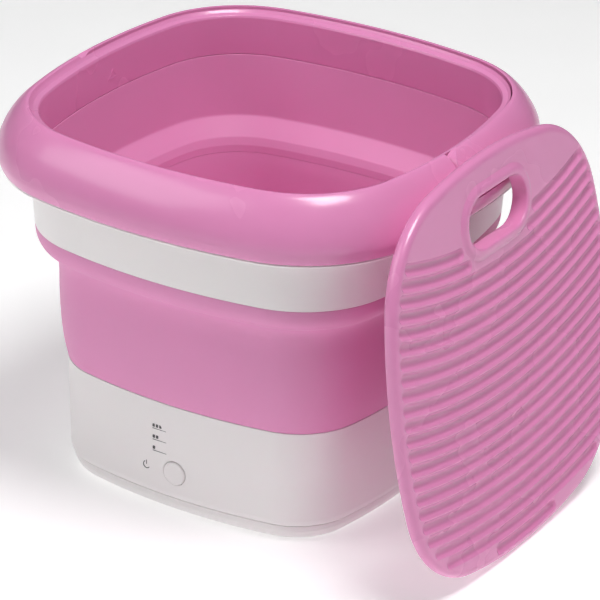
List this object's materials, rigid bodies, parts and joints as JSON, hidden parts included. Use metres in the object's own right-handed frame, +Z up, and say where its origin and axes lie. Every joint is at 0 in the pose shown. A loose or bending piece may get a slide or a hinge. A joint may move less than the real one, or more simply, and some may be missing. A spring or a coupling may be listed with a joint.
{
  "type": "portable folding mini washer",
  "caption": "Folding tub washer with a rounded square soft wall, motor base, nested bail handle and a loose washboard lid leaning on one side.",
  "frame": {"origin": "centre of the base plate's stand ring, on the floor and on the impeller's axis", "axes": "+Z up, -Y the control panel side, +X the side that the lid leans on"},
  "size_m": [0.4489, 0.3844, 0.3234],
  "materials": {
    "gloss_pink": "glossy moulded pink plastic",
    "soft_pink": "matt soft pink elastomer",
    "basin_pink": "satin moulded pink plastic",
    "white_shell": "satin warm white plastic",
    "grey_rubber": "matt grey rubber",
    "black_rubber": "matt black rubber",
    "steel": "plated steel",
    "motor_steel": "drawn steel can",
    "bronze": "sintered bronze",
    "dark_nylon": "matt dark nylon",
    "ivory_nylon": "matt natural nylon",
    "transducer_metal": "bonded transducer disc",
    "board_green": "solder masked board",
    "clear_plastic": "clear light guide"
  },
  "bodies": {
    "base": {"base_shell": "white_shell", "base_plate": "white_shell", "foot_pads": "grey_rubber", "plate_screws": "steel", "basin": "basin_pink", "bellows": "soft_pink", "gearbox_case": "dark_nylon", "gearbox_cover": "dark_nylon", "cover_screws": "steel", "case_screws": "steel", "motor_can": "motor_steel", "motor_screws": "steel", "lower_bush": "bronze", "upper_bush": "bronze", "shaft_seal": "black_rubber", "transducer": "transducer_metal", "control_board": "board_green", "board_screws": "steel", "light_guide": "clear_plastic", "tact_switch": "dark_nylon", "dc_inlet": "dark_nylon", "inlet_nut": "steel", "drain_spout": "white_shell", "spout_gasket": "black_rubber"},
    "ring": {"collar": "gloss_pink", "band_ring": "white_shell", "bellows_skirt": "soft_pink", "ring_screws": "steel", "pivot_pins": "steel"},
    "handle": {"handle_bail": "gloss_pink"},
    "lid": {"washboard_lid": "gloss_pink"},
    "rotor": {"impeller": "white_shell", "impeller_cap": "basin_pink", "impeller_screw": "steel", "output_shaft": "steel", "output_gear": "ivory_nylon"},
    "pinion": {"motor_shaft": "steel", "motor_pinion": "ivory_nylon"},
    "button": {"power_button": "white_shell"},
    "cap": {"drain_cap": "basin_pink", "cap_seal": "black_rubber"}
  },
  "joints": [
    {"name": "fold", "type": "slide", "parent": "base", "child": "ring", "axis": [0, 0, 1], "range_m": [-0.1, 0], "deforming": ["bellows"]},
    {"name": "handle_swing", "type": "hinge", "parent": "ring", "child": "handle", "pos_m": [0, -0.005, 0.299], "axis": [1, 0, 0], "range_deg": [0, 90]},
    {"name": "lid_lift_off", "type": "slide", "parent": "base", "child": "lid", "axis": [1, 0, 0], "range_m": [0, 0.15]},
    {"name": "impeller_spin", "type": "hinge", "parent": "base", "child": "rotor", "pos_m": [0, 0, 0.03], "axis": [0, 0, 1], "continuous": true},
    {"name": "pinion_spin", "type": "hinge", "parent": "base", "child": "pinion", "pos_m": [0, 0.039, 0.02], "axis": [0, 0, 1], "continuous": true},
    {"name": "button_press", "type": "slide", "parent": "base", "child": "button", "axis": [0, 1, 0], "range_m": [0, 0.001], "stiffness_N_per_m": 1500},
    {"name": "drain_cap_pull", "type": "slide", "parent": "base", "child": "cap", "axis": [0, 1, 0], "range_m": [0, 0.03]}
  ],
  "couplings": [
    {"joint": "pinion_spin", "follows": "impeller_spin", "ratio": -3.3333}
  ]
}
